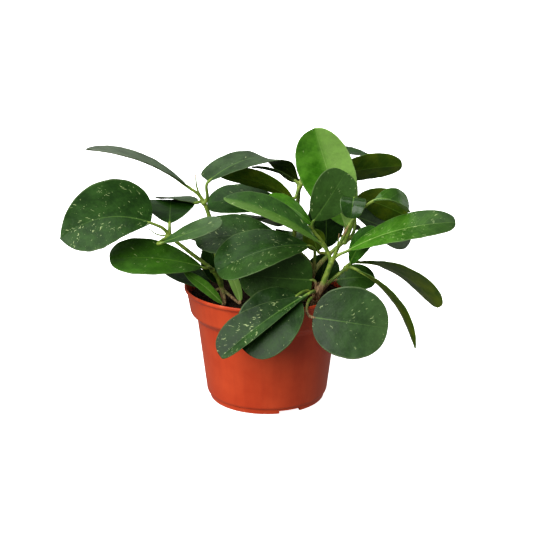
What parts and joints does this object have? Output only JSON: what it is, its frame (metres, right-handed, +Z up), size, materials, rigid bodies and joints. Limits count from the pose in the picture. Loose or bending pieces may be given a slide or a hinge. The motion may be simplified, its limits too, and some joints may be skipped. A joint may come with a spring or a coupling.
{
  "type": "potted hoya",
  "caption": "Bushy young hoya with thick oval leaves on green stems, standing in a plain terracotta-coloured nursery pot filled with soil.",
  "frame": {"origin": "centre of the flat pad under the pot, on the surface that it stands on", "axes": "+Z up the pot's axis, +X to the right along the plant's widest spread, -Y towards the side where leaves hang over the rim"},
  "size_m": [0.3664, 0.2554, 0.2743],
  "materials": {
    "pot": "moulded satin plastic",
    "soil": "loose dark potting mix",
    "stem": "smooth green stem, woody at the foot",
    "leaf_old": "waxy, flecked with silver",
    "leaf_mid": "waxy, flecked with silver",
    "leaf_young": "waxy, bright new growth"
  },
  "bodies": {
    "root": {"pot": "pot", "soil": "soil", "stem_left": "stem", "stem_front": "stem", "stem_middle": "stem", "stem_back": "stem", "stem_rear": "stem", "leaf_left_1": "leaf_old", "leaf_left_2": "leaf_old", "leaf_left_3": "leaf_mid", "leaf_left_4": "leaf_mid", "leaf_left_5": "leaf_old", "leaf_left_6": "leaf_old", "leaf_left_7": "leaf_old", "leaf_left_8": "leaf_old", "leaf_left_9": "leaf_young", "leaf_left_10": "leaf_young", "leaf_left_11": "leaf_old", "leaf_mid_1": "leaf_old", "leaf_mid_2": "leaf_old", "leaf_mid_3": "leaf_old", "leaf_mid_4": "leaf_mid", "leaf_mid_5": "leaf_old", "leaf_mid_6": "leaf_old", "leaf_top_1": "leaf_young", "leaf_top_2": "leaf_old", "leaf_top_3": "leaf_mid", "leaf_top_4": "leaf_mid", "leaf_top_5": "leaf_old", "leaf_top_6": "leaf_mid", "leaf_top_7": "leaf_old", "leaf_front_1": "leaf_old", "leaf_front_2": "leaf_old", "leaf_front_3": "leaf_old", "leaf_front_4": "leaf_mid", "leaf_front_5": "leaf_young", "leaf_front_6": "leaf_young", "leaf_right_1": "leaf_mid", "leaf_right_2": "leaf_mid", "leaf_right_3": "leaf_mid", "leaf_right_4": "leaf_old", "leaf_back_1": "leaf_old", "leaf_back_2": "leaf_mid", "leaf_back_3": "leaf_old", "leaf_back_4": "leaf_young", "leaf_back_5": "leaf_old", "leaf_back_6": "leaf_old", "leaf_rear_1": "leaf_old", "leaf_rear_2": "leaf_old", "leaf_rear_3": "leaf_mid", "leaf_rear_4": "leaf_old", "leaf_rear_5": "leaf_old", "leaf_rear_6": "leaf_mid"}
  },
  "joints": []
}
